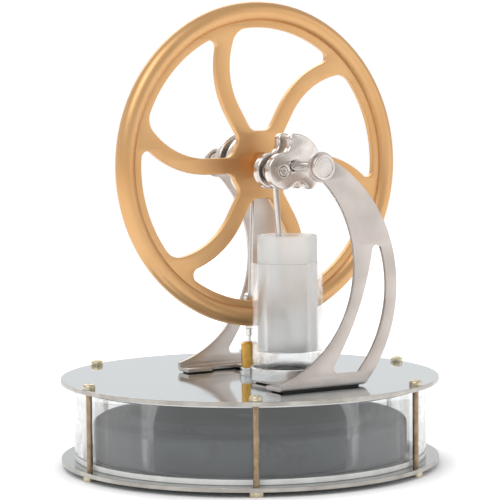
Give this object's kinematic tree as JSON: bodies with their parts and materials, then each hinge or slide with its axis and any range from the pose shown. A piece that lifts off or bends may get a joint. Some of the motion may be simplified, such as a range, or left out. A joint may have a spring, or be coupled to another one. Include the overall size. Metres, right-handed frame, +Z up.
{
  "type": "stirling engine model",
  "caption": "Desk-top hot-air engine: flat round chamber with a foam displacer, glass power cylinder, crescent-armed bracket and spoked bronze flywheel.",
  "frame": {"origin": "centre of the base, level with the underside of the six foot nuts that the engine stands on", "axes": "+Z up along the displacer rod, +Y along the crankshaft from the power crank to the displacer crank, +X towards the bulge of the bracket arms"},
  "size_m": [0.097, 0.097, 0.118],
  "materials": {
    "mirror_plate": "polished",
    "clear_polycarbonate": "gloss",
    "seal_band": "satin",
    "bronze_screw": "satin",
    "nickel_plate": "satin",
    "gland_bronze": "satin",
    "black_gasket": "matte",
    "turned_steel": "satin",
    "clear_glass": "gloss",
    "frosted_glass": "matte",
    "bronze_wheel": "satin",
    "dark_screw": "satin",
    "grey_foam": "matte",
    "polished_rod": "polished"
  },
  "bodies": {
    "chassis": {"base_plate": "mirror_plate", "top_plate": "mirror_plate", "chamber_ring": "clear_polycarbonate", "lower_gasket": "seal_band", "upper_gasket": "seal_band", "tie_screws": "bronze_screw", "tie_nuts": "bronze_screw", "gland_base": "nickel_plate", "gland_bush": "gland_bronze", "bracket": "nickel_plate", "bracket_gasket": "black_gasket", "cylinder_collar": "turned_steel", "cylinder_seal": "black_gasket", "power_cylinder": "clear_glass", "front_bearing_housing": "polished_rod", "front_bearing_outer_ring": "polished_rod", "front_bearing_balls": "polished_rod", "front_bearing_cap": "polished_rod", "back_bearing_housing": "polished_rod", "back_bearing_outer_ring": "polished_rod", "back_bearing_balls": "polished_rod", "back_bearing_cap": "polished_rod"},
    "crankshaft": {"flywheel_rim": "bronze_wheel", "flywheel_spider": "bronze_wheel", "flywheel_hub": "bronze_wheel", "hub_grub_screw": "dark_screw", "front_shaft": "polished_rod", "main_shaft": "polished_rod", "back_shaft": "polished_rod", "power_front_web": "nickel_plate", "power_back_web": "nickel_plate", "power_crank_pin": "polished_rod", "displacer_front_web": "nickel_plate", "displacer_back_web": "nickel_plate", "displacer_crank_pin": "polished_rod", "front_bearing_inner_ring": "polished_rod", "back_bearing_inner_ring": "polished_rod"},
    "power_conrod": {"power_conrod": "polished_rod", "power_big_end_bush": "gland_bronze", "conrod_rivet": "polished_rod"},
    "power_piston": {"power_piston": "frosted_glass", "piston_lug": "turned_steel"},
    "displacer_link": {"displacer_link": "polished_rod", "displacer_big_end_bush": "gland_bronze", "link_rivet": "polished_rod"},
    "displacer": {"displacer_disc": "grey_foam", "displacer_rod": "polished_rod", "rod_washer": "polished_rod", "rod_crosshead": "polished_rod"}
  },
  "joints": [
    {"name": "crankshaft_spin", "type": "hinge", "parent": "chassis", "child": "crankshaft", "pos_m": [0, 0, 0.077], "axis": [0, -1, 0], "continuous": true},
    {"name": "power_conrod_pivot", "type": "hinge", "parent": "crankshaft", "child": "power_conrod", "pos_m": [-0.00305, -0.0182, 0.07573], "axis": [0, -1, 0], "continuous": true},
    {"name": "displacer_link_pivot", "type": "hinge", "parent": "crankshaft", "child": "displacer_link", "pos_m": [0.00127, 0, 0.07395], "axis": [0, -1, 0], "continuous": true},
    {"name": "piston_slide", "type": "slide", "parent": "chassis", "child": "power_piston", "axis": [0, 0, 1], "range_m": [-0.00203, 0.00457]},
    {"name": "displacer_slide", "type": "slide", "parent": "chassis", "child": "displacer", "axis": [0, 0, 1], "range_m": [-0.00025, 0.00635]}
  ],
  "couplings": [
    {"joint": "power_conrod_pivot", "follows": "crankshaft_spin", "ratio": -1},
    {"joint": "displacer_link_pivot", "follows": "crankshaft_spin", "ratio": -1}
  ]
}
